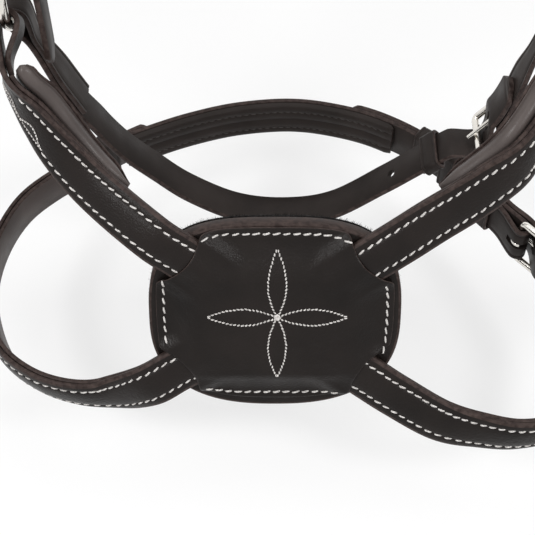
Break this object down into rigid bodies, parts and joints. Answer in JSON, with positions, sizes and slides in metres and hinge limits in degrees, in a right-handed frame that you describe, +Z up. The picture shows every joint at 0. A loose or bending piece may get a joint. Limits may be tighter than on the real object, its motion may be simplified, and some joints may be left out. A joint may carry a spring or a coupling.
{
  "type": "brackley noseband",
  "caption": "Figure-of-eight leather noseband with a stitched nose pad where the straps cross, cheek rings, padded chin band, and buckled crown and jaw straps.",
  "frame": {"origin": "middle of the underside of the crown strap, where it rests on the horse's poll", "axes": "+Z up, -Y the way the nose pad faces, +X to the picture's right"},
  "size_m": [0.2696, 0.1806, 0.4515],
  "materials": {
    "crown_strap": "smooth dark leather with burnished edges",
    "crown_chape": "smooth dark leather with burnished edges",
    "crown_keeper": "smooth dark leather with burnished edges",
    "crown_buckle_frame": "polished nickel plate",
    "crown_buckle_tongue": "polished nickel plate",
    "nose_cover": "smooth dark leather with burnished edges",
    "nose_base": "smooth dark leather with burnished edges",
    "nose_fleece": "short black fleece",
    "strap_upper_left": "smooth dark leather with burnished edges",
    "strap_upper_right": "smooth dark leather with burnished edges",
    "lining_upper_left": "soft brown-black lining leather",
    "lining_upper_right": "soft brown-black lining leather",
    "roll_left": "soft brown-black lining leather",
    "roll_right": "soft brown-black lining leather",
    "strap_lower_left": "smooth dark leather with burnished edges",
    "strap_lower_right": "smooth dark leather with burnished edges",
    "lining_lower_left": "soft brown-black lining leather",
    "lining_lower_right": "soft brown-black lining leather",
    "chin_strap": "smooth dark leather with burnished edges",
    "chin_padding": "soft brown-black lining leather",
    "chin_keeper_left": "smooth dark leather with burnished edges",
    "cheek_ring_left": "polished nickel plate",
    "cheek_ring_right": "polished nickel plate",
    "jaw_strap": "smooth dark leather with burnished edges",
    "jaw_chape": "smooth dark leather with burnished edges",
    "jaw_keeper": "smooth dark leather with burnished edges",
    "jaw_buckle_frame": "polished nickel plate",
    "jaw_buckle_tongue": "polished nickel plate",
    "chin_keeper_front": "smooth dark leather with burnished edges",
    "chin_keeper_middle": "smooth dark leather with burnished edges",
    "chin_keeper_rear": "smooth dark leather with burnished edges",
    "chin_buckle_frame": "polished nickel plate",
    "chin_buckle_tongue": "polished nickel plate"
  },
  "bodies": {
    "crown": {"crown_strap": "crown_strap", "crown_chape": "crown_chape"},
    "crown_keeper": {"crown_keeper": "crown_keeper"},
    "crown_buckle_frame": {"crown_buckle_frame": "crown_buckle_frame"},
    "crown_buckle_tongue": {"crown_buckle_tongue": "crown_buckle_tongue"},
    "noseband": {"nose_cover": "nose_cover", "nose_base": "nose_base", "nose_fleece": "nose_fleece", "strap_upper_left": "strap_upper_left", "strap_upper_right": "strap_upper_right", "lining_upper_left": "lining_upper_left", "lining_upper_right": "lining_upper_right", "roll_left": "roll_left", "roll_right": "roll_right", "strap_lower_left": "strap_lower_left", "strap_lower_right": "strap_lower_right", "lining_lower_left": "lining_lower_left", "lining_lower_right": "lining_lower_right", "chin_strap": "chin_strap", "chin_padding": "chin_padding", "chin_keeper_left": "chin_keeper_left"},
    "cheek_ring_left": {"cheek_ring_left": "cheek_ring_left"},
    "cheek_ring_right": {"cheek_ring_right": "cheek_ring_right"},
    "jaw": {"jaw_strap": "jaw_strap", "jaw_chape": "jaw_chape"},
    "jaw_keeper": {"jaw_keeper": "jaw_keeper"},
    "jaw_buckle_frame": {"jaw_buckle_frame": "jaw_buckle_frame"},
    "jaw_buckle_tongue": {"jaw_buckle_tongue": "jaw_buckle_tongue"},
    "chin_keeper_front": {"chin_keeper_front": "chin_keeper_front"},
    "chin_keeper_middle": {"chin_keeper_middle": "chin_keeper_middle"},
    "chin_keeper_rear": {"chin_keeper_rear": "chin_keeper_rear"},
    "chin_buckle_frame": {"chin_buckle_frame": "chin_buckle_frame"},
    "chin_buckle_tongue": {"chin_buckle_tongue": "chin_buckle_tongue"}
  },
  "joints": [
    {"name": "noseband_swing", "type": "hinge", "parent": "crown", "child": "noseband", "pos_m": [0, 0, -0.2989], "axis": [1, 0, 0], "range_deg": [-40, 40]},
    {"name": "ring_left_turn", "type": "hinge", "parent": "noseband", "child": "cheek_ring_left", "pos_m": [-0.106, 0, -0.2989], "axis": [1, 0, 0], "continuous": true},
    {"name": "ring_right_turn", "type": "hinge", "parent": "noseband", "child": "cheek_ring_right", "pos_m": [0.106, 0, -0.2989], "axis": [1, 0, 0], "continuous": true},
    {"name": "jaw_swing", "type": "hinge", "parent": "noseband", "child": "jaw", "pos_m": [0, 0, -0.2989], "axis": [1, 0, 0], "range_deg": [-5, 10]},
    {"name": "crown_buckle_turn", "type": "hinge", "parent": "crown", "child": "crown_buckle_frame", "pos_m": [-0.10244, 0, -0.23293], "axis": [0, 1, 0], "range_deg": [-2.5, 2.5]},
    {"name": "crown_tongue_lift", "type": "hinge", "parent": "crown_buckle_frame", "child": "crown_buckle_tongue", "pos_m": [-0.10244, 0, -0.23293], "axis": [0, 1, 0], "range_deg": [0, 8]},
    {"name": "crown_keeper_slide", "type": "slide", "parent": "crown", "child": "crown_keeper", "axis": [0.0691, -0.0856, -0.9939], "range_m": [-0.002, 0.003]},
    {"name": "jaw_buckle_turn", "type": "hinge", "parent": "jaw", "child": "jaw_buckle_frame", "pos_m": [0.09353, 0, -0.37797], "axis": [0, 1, 0], "range_deg": [-2.5, 2.5]},
    {"name": "jaw_tongue_lift", "type": "hinge", "parent": "jaw_buckle_frame", "child": "jaw_buckle_tongue", "pos_m": [0.09353, 0, -0.37797], "axis": [0, 1, 0], "range_deg": [0, 8]},
    {"name": "jaw_keeper_slide", "type": "slide", "parent": "jaw", "child": "jaw_keeper", "axis": [0.7246, 0, 0.6892], "range_m": [-0.004, 0.001]},
    {"name": "chin_buckle_turn", "type": "hinge", "parent": "noseband", "child": "chin_buckle_frame", "pos_m": [0.10678, -0.02377, -0.4354], "axis": [0, 0, 1], "range_deg": [-2.5, 2.5]},
    {"name": "chin_tongue_lift", "type": "hinge", "parent": "chin_buckle_frame", "child": "chin_buckle_tongue", "pos_m": [0.10678, -0.02377, -0.4354], "axis": [0, 0, 1], "range_deg": [0, 8]},
    {"name": "chin_keeper_front_slide", "type": "slide", "parent": "noseband", "child": "chin_keeper_front", "axis": [0.6057, -0.7957, 0], "range_m": [-0.003, 0.002]},
    {"name": "chin_keeper_middle_slide", "type": "slide", "parent": "noseband", "child": "chin_keeper_middle", "axis": [0.6792, -0.734, 0], "range_m": [-0.003, 0.003]},
    {"name": "chin_keeper_rear_slide", "type": "slide", "parent": "noseband", "child": "chin_keeper_rear", "axis": [0.7747, -0.6323, 0], "range_m": [-0.003, 0.003]}
  ]
}
